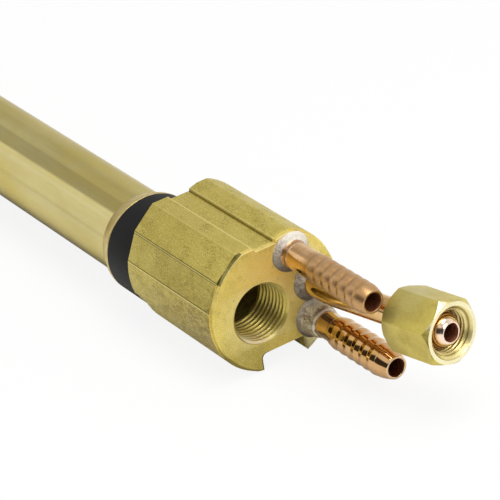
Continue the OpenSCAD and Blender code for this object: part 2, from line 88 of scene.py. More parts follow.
# The front head and the nozzle's seat, from the jacket's front end on
FRONT_RING_L = 6.0
HEAD_R = 11.0
GRIP_X = 10.0
GRIP_END = 22.0
# The copper tubes on the rear face, at (y, z), and where they end inside the block
GAS_AT = (9.0, 11.0)
WATER_AT = (12.7, -6.2)
RETURN_AT = (13.2, 2.45)
TUBE_R = 3.0
BORE_R = 2.0
ROOT_X = -8.0
BARB_X = 9.5
BARB_STEP = 2.7
BARBS = 6
TAIL_END = 29.0
# The return tube's bend, the cone nipple and the union nut. The last two are placed from the bend's end on
RETURN_START = 3.0
RETURN_R = 40.0
RETURN_A = math.radians(8.66)
RETURN_TURN = math.radians(39.2)
RETURN_L = 30.1
NIPPLE_TIP = 34.05
NIPPLE_R = 4.1
NUT_END = 34.4
NUT_L = 13.8
NUT_AF = 13.0
NUT_ROLL = math.radians(0.4)
NUT_CORE = 4.4588
NUT_DEPTH = 0.54

# Corners of the jacket and the feet are broken by this much, and worn
BREAK = 0.12
WORN = 0.3
# Points round a turned piece
ROUND = 112
# A frame turned half round its Z, so that its X runs the other way
FLIP = np.diag([-1.0, -1.0, 1.0])


# Places: each is a frame's axes and origin

def bent_line(x, start, radius, angle, way):
    """The place at x on a line along X that bends in its XY plane from start on and then runs straight on.
    way is -1 where the line is followed towards -X, or else 1."""
    past = way * (x - start)
    a = min(max(past, 0.0) / radius, angle)
    c, s = math.cos(a), math.sin(a)
    axes = np.array([[c, -s, 0], [s, c, 0], [0, 0, 1.0]])
    at = np.array([start + way * (min(past, 0.0) + radius * s), way * radius * (1 - c), 0])
    return axes, at + way * axes[:, 0] * max(0.0, past - radius * angle)


def neck_path(x):
    return bent_line(x, BEND_X, BEND_R, BEND_A, -1)


def return_path(x):
    axes, at = bent_line(x, RETURN_START, RETURN_R, RETURN_A, 1)
    turn = np.array(Matrix.Rotation(RETURN_TURN, 3, "X"))
    return turn @ axes, turn @ at + [0, *RETURN_AT]


def towards_front(x):
    """A place on the straight part of the neck whose X runs towards the front."""
    return FLIP, np.array([x, 0, 0])


BEND_END = BEND_X - BEND_R * BEND_A
NECK_END = BEND_END - FRONT_L
JACKET_END = neck_path(NECK_END)
FRONT = (JACKET_END[0] @ FLIP, JACKET_END[1])
RETURN_BEND_END = RETURN_START + RETURN_R * RETURN_A
UNION = return_path(RETURN_BEND_END)


# Mesh making

def angles(n=ROUND):
    return np.arange(n) * math.tau / n


def circle(x, r, t):
    """Points at the angles t round the X axis, at x along it and r away from it."""
    return np.stack([np.broadcast_to(x, len(t)), r * np.cos(t), r * np.sin(t)], 1)


def add_object(name, data):
    ob = bpy.data.objects.new(name, data)
    bpy.context.scene.collection.objects.link(ob)
    return ob


def put_attribute(mesh, name, kind, key, values):
    attribute = mesh.attributes.new(name, kind, "POINT")
    attribute.data.foreach_set(key, np.asarray(values, np.float32).ravel())


class Shape:
    """A mesh in millimetres. A point's lay is the place that its material reads. Its edge is above 0 where
    the metal is worn bright or has a painted highlight, and below 0 in a dark line or painted shade."""

    def __init__(self):
        self.co = []
        self.lay = []
        self.edge = []
        self.faces = []
        self.kinds = []

    def points(self, co, lay=None, edge=0.0):
        """Adds points and gives their numbers."""
        first = len(self.co)
        self.co.extend(co.tolist())
        self.lay.extend((co if lay is None else lay).tolist())
        self.edge.extend(np.broadcast_to(edge, len(co)).tolist())
        return list(range(first, first + len(co)))

    def face(self, ids, kind):
        self.faces.append(tuple(ids))
        self.kinds.append(int(kind))

    def fill(self, loops, kind):
        """Closes a flat loop of points that lies across X. Further loops are holes in it."""
        flat = [[Vector((0, *self.co[i][1:])) for i in loop] for loop in loops]
        ids = sum(loops, [])
        for corners in geometry.tessellate_polygon(flat):
            self.face([ids[i] for i in corners], kind)

    def strip(self, a, b, kind):
        """Joins two rings. kind is a material number, or one for each face."""
        for i, each in enumerate(np.broadcast_to(kind, len(a))):
            j = (i + 1) % len(a)
            self.face((a[i], a[j], b[j], b[i]), each)

    def strips(self, rings):
        """Joins [(ring, material number)] one after the other."""
        for (a, _), (b, kind) in zip(rings, rings[1:]):
            self.strip(a, b, kind)

    def build(self, name, materials, node, slot, sharp, body="neck"):
        """Makes the object. Edges of more than sharp degrees stay sharp."""
        mesh = bpy.data.meshes.new(name)
        mesh.from_pydata((np.array(self.co) * MM).tolist(), [], self.faces)
        for material in materials:
            mesh.materials.append(material)
        mesh.polygons.foreach_set("material_index", self.kinds)
        put_attribute(mesh, "lay", "FLOAT_VECTOR", "vector", self.lay)
        put_attribute(mesh, "edge", "FLOAT", "value", self.edge)
        mesh.validate()
        mesh.update()
        bm = bmesh.new()
        bm.from_mesh(mesh)
        bmesh.ops.recalc_face_normals(bm, faces=bm.faces)
        bm.to_mesh(mesh)
        bm.free()
        mesh.shade_smooth()
        mesh.set_sharp_from_angle(angle=math.radians(sharp))
        ob = add_object(name, mesh)
        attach(ob, body)
        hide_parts(node)


def sweep(rows, path, n=ROUND, wobble=None):
    """A closed row of rings. rows are [(x along the path, radius, material number, edge)], where the last two
    may be left out. path(x) gives a place, and wobble(x, r, t) is added to the radii."""
    s = Shape()
    t = angles(n)
    rings = []
    for x, r, kind, edge in ((*row, 0, 0.0)[:4] for row in rows):
        axes, at = path(x)
        local = circle(0.0, r + wobble(x, r, t) if wobble else r, t)
        rings.append((s.points(local @ axes.T + at, local + [x, 0, 0], edge), kind))
    s.strips(rings + rings[:1])
    return s


def lathe(rows, place, wobble=None):
    """A piece turned round the place's X axis."""
    axes, at = place
    return sweep(rows, lambda x: (axes, at + axes[:, 0] * x), wobble=wobble)


def soft(points, radius=0.12, steps=3, least=math.radians(12)):
    """Rounds and wears the corners of a profile [(along, radius)] that turn by more than least."""
    out = [points[0]]
    for a, b, c in zip(points, points[1:], points[2:]):
        before, at, after = (np.array(p) for p in (a, b, c))
        u, v = before - at, after - at
        long_u, long_v = np.linalg.norm(u), np.linalg.norm(v)
        u, v = u / long_u, v / long_v
        turn = math.acos(max(-1, min(1, float(-u @ v))))
        if turn < least:
            out.append(b)
            continue
        d = min(radius * math.tan(turn / 2), 0.45 * long_u, 0.45 * long_v)
        for i in range(steps + 1):
            w = i / steps
            p = (1 - w) ** 2 * (at + u * d) + 2 * w * (1 - w) * at + w * w * (at + v * d)
            out.append((*p, 0, 0.5 if 0 < i < steps else 0.0))
    return out + [points[-1]]


# Shader nodes

def shade(color, share):
    return tuple(c * share for c in color)


class Nodes:
    """Adds nodes to a material or world. Their values are numbers, colours or the outputs of other nodes."""

    def __init__(self, owner):
        owner.use_nodes = True
        self.owner = owner
        self.tree = owner.node_tree
        self.tree.nodes.clear()

    def put(self, socket, value):
        if isinstance(value, bpy.types.NodeSocket):
            self.tree.links.new(value, socket)
        elif socket.type == "RGBA":
            socket.default_value = (*value, 1)
        else:
            socket.default_value = value

    def new(self, kind, *values, props=None, **named):
        """A new node. values go to its sockets in order, named ones to the sockets of that name."""
        node = self.tree.nodes.new("ShaderNode" + kind)
        for name, value in (props or {}).items():
            setattr(node, name, value)
        for socket, value in zip(node.inputs, values):
            self.put(socket, value)
        for name, value in named.items():
            self.put(node.inputs[name], value)
        return node

    def node(self, kind, *values, out=0, **more):
        """An output of a new node."""
        return self.new(kind, *values, **more).outputs[out]

    def math(self, operation, a, b=0.0, clamp=False):
        return self.node("Math", a, b, props={"operation": operation, "use_clamp": clamp})

    def vector(self, operation, *values):
        return self.node("VectorMath", *values, out="Value", props={"operation": operation})

    def share(self, a, b):
        """The product of two values, kept between 0 and 1."""
        return self.math("MULTIPLY", a, b, True)

    def scaled(self, value, by, plus):
        return self.math("ADD", self.math("MULTIPLY", value, by), plus)

    def ramp(self, value, start, end, low=0.0, high=1.0):
        """Runs smoothly from low to high as value goes from start to end."""
        return self.node("MapRange", value, start, end, low, high, props={"interpolation_type": "SMOOTHSTEP"})

    def mix(self, share, a, b, blend="MIX"):
        """Goes from a to b. A colour mix has them in its sockets 6 and 7."""
        mixer = self.new("Mix", share, props={"data_type": "RGBA", "blend_type": blend})
        self.put(mixer.inputs[6], a)
        self.put(mixer.inputs[7], b)
        return mixer.outputs[2]

    def layers(self, color, rows):
        """Lays tints over a colour, one after the other. rows are [(where, how much, tint)]."""
        for where, share, tint in rows:
            color = self.mix(self.share(where, share), color, tint)
        return color

    def ray_share(self, camera, gloss):
        """camera for the rays that come from the camera, gloss for those from a gloss or through glass."""
        path = self.new("LightPath")
        rows = (("Is Camera Ray", camera), ("Is Glossy Ray", gloss), ("Is Transmission Ray", gloss))
        seen, shiny, clear = (self.math("MULTIPLY", path.outputs[ray], share) for ray, share in rows)
        return self.math("MAXIMUM", self.math("MAXIMUM", seen, shiny), clear)


class Mat(Nodes):
    """A material. Its noises have their scale in grains to the millimetre."""

    def __init__(self, name):
        super().__init__(bpy.data.materials.new(name))
        self.shader = self.new("BsdfPrincipled")
        self.new("OutputMaterial", self.shader.outputs[0])
        self.lay = self.node("Attribute", out="Vector", props={"attribute_name": "lay"})
        self.edge = self.node("Attribute", out="Fac", props={"attribute_name": "edge"})
        self.normal = None

    def stretch(self, scale, turn=(0, 0, 0)):
        """The lay, squeezed by scale along its axes and turned."""
        return self.node("Mapping", Vector=self.lay, Scale=scale, Rotation=turn)

    def noise(self, scale, vector=None, detail=3.0, rough=0.55):
        return self.node("TexNoise", Vector=vector or self.lay, Scale=scale, Detail=detail, Roughness=rough)

    def axis(self, i):
        return self.node("SeparateXYZ", self.lay, out=i)

    def bump(self, height, strength, distance):
        """Adds to the relief. distance is in millimetres."""
        below = {} if self.normal is None else {"Normal": self.normal}
        self.normal = self.node("Bump", Height=height, Strength=strength, Distance=distance * MM, **below)

    def edges(self, color, pale, dark, share=0.8):
        """Worn edges and painted highlights are pale, deep lines and painted shade dark."""
        return self.layers(color, [(self.edge, share, pale), (self.edge, -share, dark)])

    def done(self, color, rough, metallic=1.0):
        """Joins the colour, roughness and relief to the shader, and gives the material."""
        values = {"Base Color": color, "Roughness": rough, "Metallic": metallic, "Normal": self.normal}
        for name, value in values.items():
            self.put(self.shader.inputs[name], value)
        return self.owner


# Materials

def spotted(m, color, clouds, spots):
    """Lays soft patches over a colour, [(middle, full inside, none outside, tint, share)]. clouds make their
    outlines uneven."""
    for middle, near, far, tint, share in spots:
        away = m.vector("DISTANCE", m.lay, middle)
        away = m.math("ADD", away, m.math("MULTIPLY", m.math("SUBTRACT", clouds, 0.5), far - near))
        color = m.mix(m.share(m.ramp(away, far, near), share), color, tint)
    return color


def low_dirt(m):
    """Where brown specks lie: low down and towards the rear end."""
    low = m.share(m.ramp(m.axis(2), 11, -2), m.ramp(m.axis(0), -32, -2, 0.25, 1))
    return m.share(m.ramp(m.noise(1.7, m.stretch((0.4, 1, 1)), detail=6, rough=0.85), 0.44, 0.64), low)


def scuffs(m):
    """Where dark specks crowd."""
    crowd = m.ramp(m.noise(0.3, m.stretch((0.7, 1, 1), (0.2, 0.5, 1.1)), detail=2), 0.53, 0.64)
    specks = m.noise(3.2, m.stretch((0.6, 1, 1), (0, 0, 0.6)), detail=4, rough=0.8)
    return m.share(crowd, m.ramp(specks, 0.5, 0.6))


def hair_scratches(m, clouds):
    """Thin lines where a stretched noise passes through its middle value."""
    thin = m.noise(0.7, m.stretch((0.35, 2.6, 2.6), (0.5, 0.3, 0.9)), detail=2, rough=0.5)
    thin = m.ramp(m.math("ABSOLUTE", m.math("SUBTRACT", thin, 0.5)), 0.006, 0)
    return m.share(thin, m.ramp(clouds, 0.5, 0.62))


def brass(name, base, dull, pale, rough=0.36, metallic=0.8, streak=0.3, speckle=0.5, stains=0.4,
          grain=(0.06, 1, 1), bumps=1.0, scratch=0.4, lines=2.2, dirt=0.0, spots=()):
    """Drawn or machined brass. grain squeezes the streaks along the drawing and lines is their scale. The
    other values are amounts. The stipple, scuffs and pits go with speckle."""
    m = Mat(name)
    clouds = m.noise(0.22, detail=4, rough=0.6)
    drawn = m.noise(lines, m.stretch(grain), rough=0.6)
    fine = m.noise(4.4, rough=0.9)
    patches = m.noise(0.16, m.stretch((1, 1, 1), (0.4, 0.9, 0.2)), detail=5, rough=0.65)
    patches = m.ramp(patches, 0.54, 0.72)
    pits = m.share(m.ramp(m.noise(2.6, detail=4, rough=0.75), 0.66, 0.75), speckle * 1.6)
    scratches = m.share(hair_scratches(m, clouds), scratch)
    color = spotted(m, m.mix(m.ramp(clouds, 0.36, 0.66), base, dull), clouds, spots)
    color = m.layers(color, [
        (m.ramp(drawn, 0.35, 0.72), streak, pale),
        (m.ramp(fine, 0.52, 0.66), speckle, pale),
        (m.ramp(fine, 0.5, 0.36), speckle, shade(dull, 0.55)),
        (patches, stains, shade(dull, 0.66)),
    ])
    if dirt:
        brown = (dull[0] * 0.46, dull[1] * 0.4, dull[2] * 0.46)
        color = m.mix(m.share(low_dirt(m), dirt), color, brown)
    color = m.layers(color, [
        (scuffs(m), speckle, shade(dull, 0.45)),
        (pits, 1, shade(dull, 0.3)),
        (scratches, 1, pale),
    ])
    color = m.edges(color, pale, shade(dull, 0.22))
    rough_at = m.scaled(patches, 0.08, m.scaled(m.ramp(clouds, 0.35, 0.7), 0.1, rough))
    m.bump(fine, 0.35 * bumps, 0.03)
    m.bump(drawn, 0.2 * bumps, 0.03)
    m.bump(m.math("SUBTRACT", 1, m.math("ADD", pits, scratches)), 0.35 * bumps, 0.03)
    return m.done(color, rough_at, metallic)


def jacket_material():
    """Polished tube: mottled yellow film, streaks along it and painted shade on its underside."""
    m = Mat("brass_polished")
    clouds = m.noise(0.1, m.stretch((0.35, 1, 1)), detail=4, rough=0.6)
    streaks = m.noise(0.9, m.stretch((0.012, 1, 1)), detail=4, rough=0.6)
    golden = m.noise(0.07, m.stretch((0.6, 1.3, 1.3), (0.3, 0.2, 0.7)), detail=5, rough=0.6)
    grain = m.noise(3.5, rough=0.8)
    dots = m.noise(2.4, detail=4, rough=0.7)
    color = m.layers((0.665, 0.575, 0.258), [
        (m.ramp(clouds, 0.35, 0.68), 1, (0.585, 0.49, 0.2)),
        (m.ramp(streaks, 0.45, 0.75), 0.2, (0.8, 0.75, 0.5)),
        (m.ramp(golden, 0.5, 0.66), 0.5, (0.64, 0.51, 0.14)),
        (m.ramp(grain, 0.54, 0.68), 0.22, (0.36, 0.28, 0.08)),
        (m.ramp(dots, 0.68, 0.76), 0.5, (0.26, 0.19, 0.07)),
        # Painted shade on the underside, standing in for the shadowed floor it mirrors
        (m.ramp(m.axis(2), -4.5, -9.4), 0.92, (0.205, 0.16, 0.048)),
    ])
    rough = m.scaled(m.ramp(clouds, 0.3, 0.7), 0.04, 0.075)
    rough = m.scaled(m.ramp(streaks, 0.45, 0.8), 0.03, rough)
    m.bump(streaks, 0.12, 0.02)
    m.bump(grain, 0.1, 0.01)
    # The metal stays yellow where it is seen along its surface
    m.put(m.shader.inputs["Specular Tint"], (0.78, 0.73, 0.57))
    return m.done(color, rough)


def collar_material():
    """Turned brass, dull and slightly brown, with dark spots."""
    m = Mat("brass_collar")
    clouds = m.noise(0.6, detail=4, rough=0.6)
    turned = m.noise(7, m.stretch((1, 0.05, 0.05)), detail=2)
    spots = m.share(m.ramp(m.noise(2.2, detail=4, rough=0.7), 0.66, 0.74), 0.7)
    color = m.layers((0.72, 0.57, 0.22), [
        (m.ramp(clouds, 0.35, 0.68), 1, (0.6, 0.46, 0.165)),
        (m.ramp(turned, 0.4, 0.7), 0.3, (0.66, 0.54, 0.28)),
        (spots, 1, (0.16, 0.1, 0.05)),
        (m.edge, 0.5, (0.72, 0.6, 0.32)),
    ])
    m.bump(turned, 0.15, 0.02)
    m.bump(spots, 0.2, -0.02)
    return m.done(color, m.scaled(clouds, 0.2, 0.28))


def copper(name, base, warm, pale, rough=0.16, rings=0.35, gold=0.3, satin=None, film_share=0.45):
    """Polished copper: turned marks, warm patches and a brownish film. satin is the place along the tube from
    which on the metal is duller, and how much rougher it is there."""
    m = Mat(name)
    clouds = m.noise(0.42, m.stretch((0.5, 1, 1)), detail=4, rough=0.6)
    marks = m.noise(5, m.stretch((1, 0.06, 0.06)), detail=2, rough=0.6)
    grains = m.noise(3.4, detail=4, rough=0.8)
    golden = m.ramp(m.noise(0.5, m.stretch((0.4, 1, 1), (0.3, 0, 0))), 0.52, 0.7)
    film = m.ramp(m.noise(1.5, detail=5, rough=0.7), 0.56, 0.72)
    color = m.layers(base, [
        (m.ramp(clouds, 0.34, 0.68), 1, warm),
        (golden, gold, (0.62, 0.4, 0.1)),
        (film, film_share, shade(warm, 0.5)),
        (m.ramp(marks, 0.45, 0.75), rings, pale),
        (m.ramp(grains, 0.6, 0.72), film_share, shade(warm, 0.42)),
    ])
    color = m.edges(color, pale, shade(warm, 0.3), 0.7)
    rough_at = m.scaled(m.ramp(clouds, 0.35, 0.7), rough * 0.5, rough)
    rough_at = m.scaled(film, film_share * 0.25, rough_at)
    if satin:
        start, rougher = satin
        past = m.ramp(m.axis(0), start, start + 3)
        color = m.mix(m.share(past, 0.62), color, shade(warm, 0.72))
        rough_at = m.scaled(past, rougher, rough_at)
    m.bump(marks, 0.12 * rings, 0.02)
    m.bump(grains, 0.3 * film_share, 0.02)
    return m.done(color, rough_at)


def bore_material(name, tone, darker):
    """The inside of a tube: dark oxide in two tones."""
    m = Mat(name)
    film = m.noise(1.2, detail=5, rough=0.7)
    m.bump(film, 0.2, 0.03)
    return m.done(m.mix(m.ramp(film, 0.35, 0.7), tone, darker), m.scaled(film, 0.3, 0.42), metallic=0.6)


def braze_material(name, base, second, dark, brown):
    """Grainy solder and flux: pale lumps with dark holes, bright beads and a share of brown streaks."""
    m = Mat(name)
    grains = m.noise(3, detail=5, rough=0.85)
    lumps = m.noise(0.9, detail=4, rough=0.6)
    streaks = m.noise(0.6, m.stretch((0.7, 1, 1), (0.9, 0.1, 0.4)), detail=5, rough=0.7)
    color = m.layers(base, [
        (m.ramp(lumps, 0.35, 0.66), 1, second),
        (m.ramp(streaks, 0.48, 0.6), brown, (0.22, 0.13, 0.06)),
        (m.ramp(lumps, 0.6, 0.72), 0.55, dark),
        (m.ramp(grains, 0.54, 0.62), 0.9, dark),
        (m.ramp(grains, 0.44, 0.34), 0.8, (0.95, 0.92, 0.86)),
    ])
    color = m.edges(color, (0.92, 0.88, 0.78), dark)
    m.bump(lumps, 0.5, 0.15)
    m.bump(grains, 0.8, 0.12)
    return m.done(color, m.scaled(grains, 0.3, 0.38), metallic=0.15)


def plastic(name, base, worn, rough=0.42, specular=0.5):
    """Turned plastic with worn patches and dust."""
    m = Mat(name)
    clouds = m.noise(0.35, detail=4, rough=0.6)
    dust = m.noise(3, detail=4, rough=0.7)
    dusty = tuple(min(1, c * 2.2 + 0.02) for c in worn)
    color = m.layers(base, [
        (m.ramp(clouds, 0.42, 0.72), 0.5, worn),
        (m.ramp(dust, 0.68, 0.76), 0.35, dusty),
        (m.edge, 0.4, worn),
    ])
    m.bump(m.noise(6.5, detail=2, rough=0.6), 0.25, 0.02)
    m.bump(m.noise(5, m.stretch((1, 0.04, 0.04)), detail=2), 0.12, 0.02)
    m.put(m.shader.inputs["Specular IOR Level"], specular)
    return m.done(color, m.scaled(clouds, 0.14, rough), metallic=0)


def ceramic_material():
    m = Mat("ceramic_unglazed")
    clouds = m.noise(0.5, detail=5, rough=0.6)
    grains = m.noise(5, rough=0.7)
    color = m.layers((0.72, 0.62, 0.5), [
        (m.ramp(clouds, 0.35, 0.68), 1, (0.6, 0.5, 0.39)),
        (m.ramp(grains, 0.6, 0.74), 0.5, (0.4, 0.32, 0.25)),
    ])
    m.bump(grains, 0.3, 0.03)
    return m.done(color, m.scaled(clouds, 0.2, 0.5), metallic=0)


def steel_material():
    m = Mat("steel_wire")
    lines = m.noise(4)
    m.bump(lines, 0.15, 0.02)
    color = m.mix(m.ramp(lines, 0.35, 0.7), (0.52, 0.52, 0.54), (0.38, 0.38, 0.4))
    return m.done(color, m.scaled(lines, 0.2, 0.22))


PALE_GOLD = (0.98, 0.88, 0.46)
block_brass = brass(
    "brass_drawn", base=(0.59, 0.47, 0.088), dull=(0.49, 0.38, 0.062), pale=(0.8, 0.705, 0.27),
    rough=0.42, metallic=0.65, streak=0.12, speckle=0.8, dirt=1.5,
    # Painted shade low on the left near the rear
    spots=(((-2, -12, -5), 2, 16, (0.35, 0.265, 0.052), 0.8),
           # Painted shade on the top towards the front
           ((-26, -3, 13.5), 6, 22, (0.49, 0.385, 0.07), 0.6),
           # Painted light on the left side at the front
           ((-30, -13, 1), 2, 14, (0.74, 0.61, 0.14), 0.55)))
# The last spot is the dark pit beside the thread
face_brass = brass(
    "brass_faced", base=(0.86, 0.685, 0.145), dull=(0.77, 0.59, 0.112), pale=PALE_GOLD, rough=0.38,
    metallic=0.75, streak=0.14, speckle=0.7, stains=0.2, grain=(1, 0.5, 0.5), lines=1.2, bumps=1.6,
    spots=(((0, 2, 8), 1, 12, (1, 0.73, 0.2), 0.8),
           # Painted light on the right, where the tubes shade the face
           ((0, 6.5, -1), 1, 10, (1, 0.79, 0.18), 0.7),
           # Painted shade low on the left
           ((0, -6, -11.5), 3, 12, (0.41, 0.325, 0.044), 1),
           ((0, 13, 8), 1, 4, PALE_GOLD, 0.8),
           # Painted light on the right foot, where the water tail shades it
           ((0, 12, -12.5), 1.5, 4, (1, 0.9, 0.5), 0.95),
           ((0, -6.15, 5.75), 0.12, 0.22, (0.05, 0.03, 0.02), 1)))
# A darker copy of the brass for the rim's crescent at the upper left: painted shade
rim_brass = brass(
    "brass_rim", base=(0.25, 0.21, 0.045), dull=(0.2, 0.165, 0.032), pale=(0.62, 0.54, 0.22), rough=0.26,
    streak=0.25, speckle=0.3, stains=0.2)
thread_brass = brass(
    "brass_thread", base=(0.6, 0.47, 0.066), dull=(0.47, 0.36, 0.048), pale=(1, 0.93, 0.62),
    rough=0.28, metallic=0.66, streak=0.15, speckle=0.2, stains=0.3, bumps=0.5)
nut_brass = brass(
    "brass_nut", base=(0.655, 0.528, 0.106), dull=(0.56, 0.44, 0.085), pale=(0.8, 0.72, 0.34), rough=0.4,
    metallic=0.72, streak=0.08, speckle=0.16, stains=0.45, grain=(0.3, 1, 1), bumps=0.6, scratch=0.15,
    # The first two spots are painted shade at the nut's rear end
    spots=(((19.6, -3.1, 5.8), 0.6, 5, (0.13, 0.105, 0.026), 0.8),
           ((19, -6.6, -1), 0.5, 9, (0.23, 0.185, 0.045), 0.7),
           ((25, 4.1, 5.1), 2, 9, (0.47, 0.41, 0.16), 0.6)))
# A pale copy of the nut's brass for its mouth and the lit corner of its chamfer: painted light
lit_nut_rim_brass = brass(
    "brass_nut_rim", base=(0.88, 0.8, 0.46), dull=(0.8, 0.7, 0.36), pale=(0.97, 0.92, 0.66), rough=0.22,
    streak=0.2, speckle=0.1, stains=0.05, bumps=0.4)
# A paler copy of the nut's brass for its inside: painted light
lit_nut_thread_brass = brass(
    "brass_nut_thread", base=(0.76, 0.62, 0.21), dull=(0.65, 0.51, 0.15), pale=(0.98, 0.9, 0.56),
    rough=0.28, streak=0.15, speckle=0.1, stains=0.2, bumps=0.4)
jacket_brass = jacket_material()
collar_brass = collar_material()
gas_copper = copper(
    "copper_gas", base=(0.77, 0.465, 0.215), warm=(0.62, 0.345, 0.135), pale=(0.92, 0.68, 0.44), rough=0.13,
    rings=0.5, satin=(7, 0.22), film_share=0.62)
water_copper = copper(
    "copper_water", base=(0.66, 0.395, 0.178), warm=(0.59, 0.33, 0.122), pale=(0.9, 0.68, 0.45),
    rough=0.055, rings=0.15, gold=0.4, film_share=0.25)
return_copper = copper(
    "copper_return", base=(0.78, 0.5, 0.215), warm=(0.66, 0.39, 0.14), pale=(0.9, 0.7, 0.46),
    rough=0.12, rings=0.15, gold=0.45)
# A paler copy of the copper for the nipple, to brighten its highlight: painted light
lit_nipple_copper = copper(
    "copper_nipple", base=(0.93, 0.6, 0.36), warm=(0.85, 0.48, 0.2), pale=(1, 0.86, 0.74),
    rough=0.13, rings=0.2, film_share=0.2)
burnt_copper = copper(
    "copper_burnt", base=(0.56, 0.32, 0.17), warm=(0.42, 0.22, 0.1), pale=(0.9, 0.8, 0.62),
    rough=0.26, rings=0.1, film_share=0.8)
copper_bore = bore_material("copper_bore", (0.26, 0.08, 0.03), (0.12, 0.034, 0.013))
brass_bore = bore_material("brass_bore", (0.32, 0.255, 0.062), (0.16, 0.12, 0.034))
grey_braze = braze_material(
    "braze", base=(0.66, 0.59, 0.49), second=(0.36, 0.29, 0.2), dark=(0.08, 0.055, 0.032), brown=0.3)
pale_flux = braze_material(
    "flux", base=(0.96, 0.88, 0.68), second=(0.7, 0.6, 0.32), dark=(0.12, 0.065, 0.028), brown=0.8)
black_plastic = plastic(
    "plastic_black", (0.004, 0.0035, 0.0035), (0.01, 0.009, 0.008), rough=0.5, specular=0.22)
pale_plastic = plastic("plastic_pale", (0.7, 0.67, 0.58), (0.58, 0.54, 0.44))
ceramic = ceramic_material()
steel = steel_material()


# Connection block

# Its outline is made of (y, z, edge) points that run from the left foot over the top to the right foot, then
# through the channel. Angles are in degrees round the bar's middle
FOOT_A = math.degrees(math.asin((FOOT_Z - BAR_Z) / BAR_R))
LOBE_A = math.degrees(math.asin((LOBE_Z - BAR_Z) / BAR_R))
# The side flats: (middle, half their width in degrees, distance from the bar's middle)
SIDE_FLATS = ((130.5, 12.4, 15.66), (155.5, 11.4, 15.65))
SIDE_END = 118.2
# Scored lines of the drawing die: (turn in degrees, height, edge)
# Their edge paints a highlight on the lips and shade in the grooves
PALE_DARK = ((1.2, 0, 0), (0.9, 0.02, 1), (0.3, 0.02, 0.9), (0, -0.1, -0.9), (-0.5, -0.12, -1),
             (-0.8, 0, 0))
DARK_PALE = ((1, 0, 0), (0.7, -0.12, -1), (0.1, -0.12, -1), (-0.2, 0.02, 0.8), (-0.9, 0.02, 0.7),
             (-1.2, 0, 0))
TWO_DARK = ((1.2, 0, 0), (0.95, -0.06, -0.9), (0.65, -0.06, -0.7), (0.4, 0.01, 0.8), (-0.05, 0.01, 0.8),
            (-0.3, -0.08, -1), (-0.7, -0.08, -1), (-1, 0, 0))
# One turn of a thread: shares of the pitch, and shares of the depth there
CONDUIT_FORM = ((0, 0.1, 0.16, 0.44, 0.52, 0.58, 0.86, 0.94, 1), (0, 0, 0.06, 0.9, 1, 0.92, 0.08, 0, 0))
NUT_FORM = ((0, 0.12, 0.2, 0.46, 0.54, 0.6, 0.88, 0.95, 1), (0, 0, 0.06, 0.92, 1, 0.92, 0.06, 0, 0))


def bar_point(angle, r=BAR_R):
    a = math.radians(angle)
    return BAR_Y + r * math.cos(a), BAR_Z + r * math.sin(a)


def side_r(angle):
    """The radius of the bar, or of one of its side flats."""
    for middle, half, distance in SIDE_FLATS:
        if abs(angle - middle) < half:
            return min(BAR_R, distance / math.cos(math.radians(angle - middle)))
    return BAR_R


def bar_arc(start, end, step=1.2):
    steps = max(2, int(abs(end - start) / step))
    return [(*bar_point(a), 0) for a in np.linspace(start, end, steps)]


def side_flat(start, end, steps):
    return [(*bar_point(a, side_r(a)), 0) for a in np.linspace(start, end, steps)]


def scored(at, form):
    return [(*bar_point(at + turn, side_r(at + turn) + height), edge) for turn, height, edge in form]


def left_side():
    return (bar_arc(180 - FOOT_A - 0.8, 212.4) + scored(211.5, DARK_PALE) + bar_arc(210.2, 169.4)
            + scored(168, PALE_DARK) + side_flat(166.4, 145.6, 12) + scored(144, TWO_DARK)
            + side_flat(142.6, SIDE_END, 14))


def top_side():
    """The flat top, its recess and the lobe, as far as the bar's right side."""
    left, _ = bar_point(SIDE_END, side_r(SIDE_END))
    right, _ = bar_point(LOBE_A)
    # The top's left edge has a painted highlight
    points = [(left + 0.02, TOP_Z, 0.45), (left + 0.15, TOP_Z, 0.3)]
    points += [(y, TOP_Z, 0) for y in np.linspace(left + 0.5, RECESS_Y - 0.5, 6)]
    # The step down's edge has a painted highlight; the step up has painted shade in the corner at its foot
    down = ((-0.32, TOP_Z + 0.01, 0.9), (-0.14, TOP_Z - 0.04, 1), (0.12, RECESS_Z + 0.04, 0.2))
    up = ((-0.14, RECESS_Z - 0.02, -0.3), (0.02, RECESS_Z - 0.06, -1), (0.1, LOBE_Z - 0.95, -0.4),
          (0.24, LOBE_Z - 0.6, 0.5))
    points += [(RECESS_Y + y, z, edge) for y, z, edge in down]
    points += [(y, RECESS_Z, 0) for y in np.linspace(RECESS_Y + 0.4, LOBE_Y - 0.35, 6)]
    points += [(LOBE_Y + y, z, edge) for y, z, edge in up]
    for y in (6.3, 6.8, 7.4, 8, 8.8):
        points.append((y, float(np.interp(y, (LOBE_Y + 0.2, 8), (LOBE_Z - 0.6, LOBE_Z))) - 0.02, 0))
    return points + [(9.6, LOBE_Z, 0), (right - 0.25, LOBE_Z, 0), (right - 0.02, LOBE_Z - 0.06, 0.4)]


def roof_corner(y, start):
    """A quarter of the channel's rounding about a middle at y."""
    turns = np.radians(np.linspace(start, start + 90, 8))
    return [(y + FILLET * math.cos(a), ROOF_Z - FILLET + FILLET * math.sin(a), 0) for a in turns]


